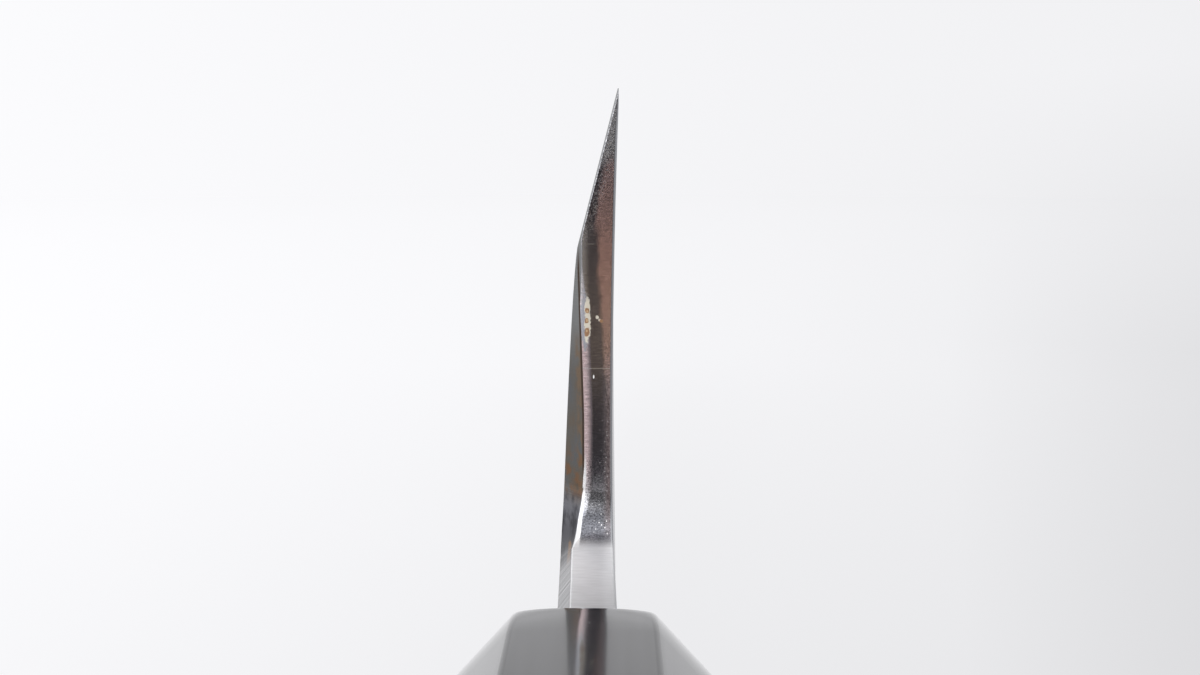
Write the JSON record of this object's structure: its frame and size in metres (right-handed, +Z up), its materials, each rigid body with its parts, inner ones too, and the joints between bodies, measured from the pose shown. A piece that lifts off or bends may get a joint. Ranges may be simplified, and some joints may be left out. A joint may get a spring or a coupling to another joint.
{
  "type": "deba knife",
  "caption": "Heavy single-bevel kitchen knife: laminated hollow-backed blade with a square heel, hidden tang, black horn ferrule and octagonal wooden handle.",
  "frame": {"origin": "middle of the whole length and width, on the plane of the handle's resting facet", "axes": "+Y along the knife from the butt to the tip, +Z up towards the cutting edge (the knife stands edge up, as in the picture), +X towards the hollow-ground back"},
  "size_m": [0.023, 0.3394, 0.0613],
  "materials": {
    "soft_iron": "ground across on the heel, brushed along the flat",
    "hard_steel": "fine ground, brighter than the iron",
    "black_horn": "polished black buffalo horn",
    "magnolia_wood": "bare, finely sanded, straight grain",
    "sealing_resin": "dull dark resin"
  },
  "bodies": {
    "root": {"blade_body": "soft_iron", "edge_steel": "hard_steel", "ferrule": "black_horn", "handle_body": "magnolia_wood", "tang_seal": "sealing_resin"}
  },
  "joints": []
}
